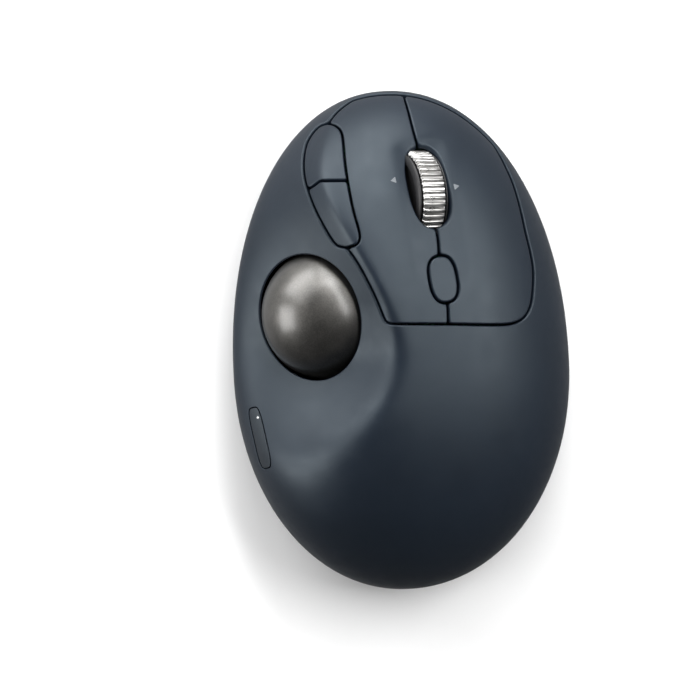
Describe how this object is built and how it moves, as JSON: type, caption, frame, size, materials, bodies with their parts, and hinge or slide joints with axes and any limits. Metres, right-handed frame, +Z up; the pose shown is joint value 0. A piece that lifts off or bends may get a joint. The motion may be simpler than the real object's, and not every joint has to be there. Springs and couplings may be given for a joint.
{
  "type": "thumb trackball mouse",
  "caption": "Right-hand wireless trackball mouse with a thumb ball, hinged main buttons, side buttons and a tilting, clicking scroll wheel.",
  "frame": {"origin": "under the middle of the outline, on the surface the feet rest on", "axes": "+Y towards the front (the buttons), +X to the right, +Z up"},
  "size_m": [0.0878, 0.13, 0.0455],
  "materials": {
    "shell_plastic": "fine-textured matte",
    "button_plastic": "fine-textured matte",
    "base_plastic": "moulded matte",
    "window_plastic": "smoked gloss",
    "led_body": "clear",
    "ball_resin": "metallic lacquer under polish",
    "black_plastic": "moulded",
    "frame_plastic": "moulded",
    "ceramic_ball": "polished zirconia look",
    "clear_lens": "clear moulded",
    "chip_black": "epoxy",
    "circuit_board": "solder mask",
    "switch_plastic": "moulded",
    "encoder_plastic": "moulded",
    "steel": "satin",
    "wheel_metal": "machined ridges",
    "screw_steel": "zinc plated",
    "foot_rubber": "soft",
    "battery_wrap": "foil pouch",
    "cable_plastic": "flexible"
  },
  "bodies": {
    "base": {"bottom_shell": "base_plastic", "top_shell": "shell_plastic", "indicator_lens": "window_plastic", "status_led": "led_body", "ball_cup": "black_plastic", "support_bearing_1": "ceramic_ball", "support_bearing_2": "ceramic_ball", "support_bearing_3": "ceramic_ball", "sensor_lens": "clear_lens", "optical_sensor": "chip_black", "sensor_board": "circuit_board", "sensor_cable": "cable_plastic", "main_board": "circuit_board", "battery": "battery_wrap", "battery_lead": "cable_plastic", "usb_c_socket": "steel", "radio_shield": "steel", "controller_chip": "chip_black", "upper_board": "circuit_board", "inner_frame": "frame_plastic", "left_switch": "switch_plastic", "right_switch": "switch_plastic", "dpi_switch": "switch_plastic", "forward_switch": "switch_plastic", "back_switch": "switch_plastic", "wheel_click_switch": "switch_plastic", "case_screw_1": "screw_steel", "case_screw_2": "screw_steel", "case_screw_3": "screw_steel", "case_screw_4": "screw_steel", "foot_1": "foot_rubber", "foot_2": "foot_rubber", "foot_3": "foot_rubber", "foot_4": "foot_rubber", "foot_5": "foot_rubber", "power_switch": "steel", "connect_switch": "switch_plastic", "receiver_bay": "black_plastic"},
    "ball": {"ball": "ball_resin"},
    "left_button": {"left_button": "button_plastic"},
    "right_button": {"right_button": "button_plastic"},
    "forward_button": {"forward_button": "button_plastic"},
    "back_button": {"back_button": "button_plastic"},
    "dpi_button": {"dpi_button": "button_plastic"},
    "wheel_rocker": {"wheel_rocker": "frame_plastic"},
    "wheel_carrier": {"wheel_carrier": "frame_plastic", "wheel_encoder": "encoder_plastic"},
    "scroll_wheel": {"wheel_tread": "wheel_metal", "wheel_hub": "black_plastic", "wheel_axle": "steel"},
    "power_slider": {"power_slider": "base_plastic"},
    "connect_button": {"connect_button": "base_plastic"},
    "receiver": {"receiver_case": "black_plastic", "receiver_plug": "steel"}
  },
  "joints": [
    {"name": "ball_roll", "type": "hinge", "parent": "base", "child": "ball", "pos_m": [-0.01898, 0.00667, 0.0219], "axis": [-0.0569, 0.9948, 0.0847], "continuous": true},
    {"name": "left_click", "type": "hinge", "parent": "base", "child": "left_button", "pos_m": [0.00392, 0.00447, 0.042], "axis": [-1, 0, 0], "range_deg": [0, 0.8], "stiffness_Nm_per_rad": 2},
    {"name": "right_click", "type": "hinge", "parent": "base", "child": "right_button", "pos_m": [0.02192, 0.00447, 0.039], "axis": [-1, 0, 0], "range_deg": [0, 0.8], "stiffness_Nm_per_rad": 2},
    {"name": "forward_press", "type": "slide", "parent": "base", "child": "forward_button", "axis": [0.35, -0.2, -0.9151], "range_m": [0, 0.0005], "stiffness_N_per_m": 800},
    {"name": "back_press", "type": "slide", "parent": "base", "child": "back_button", "axis": [0.4, -0.1, -0.911], "range_m": [0, 0.0005], "stiffness_N_per_m": 800},
    {"name": "dpi_press", "type": "slide", "parent": "base", "child": "dpi_button", "axis": [-0.3281, -0.2, -0.9232], "range_m": [0, 0.0005], "stiffness_N_per_m": 800},
    {"name": "wheel_press", "type": "slide", "parent": "base", "child": "wheel_rocker", "axis": [-0.3485, -0.3931, -0.8509], "range_m": [0, 0.0005], "stiffness_N_per_m": 1500},
    {"name": "wheel_tilt", "type": "hinge", "parent": "wheel_rocker", "child": "wheel_carrier", "pos_m": [-0.00156, 0.03044, 0.01616], "axis": [-0.1952, 0.9183, -0.3444], "range_deg": [-2.5, 2.5], "stiffness_Nm_per_rad": 0.6},
    {"name": "wheel_spin", "type": "hinge", "parent": "wheel_carrier", "child": "scroll_wheel", "pos_m": [0.00321, 0.03582, 0.02781], "axis": [0.9168, 0.0461, -0.3968], "continuous": true},
    {"name": "power_slide", "type": "slide", "parent": "base", "child": "power_slider", "axis": [0, -1, 0], "range_m": [0, 0.0026]},
    {"name": "connect_press", "type": "slide", "parent": "base", "child": "connect_button", "axis": [0, 0, 1], "range_m": [0, 0.0004], "stiffness_N_per_m": 500},
    {"name": "receiver_pull", "type": "slide", "parent": "base", "child": "receiver", "axis": [0, 0, -1], "range_m": [0, 0.018]}
  ]
}
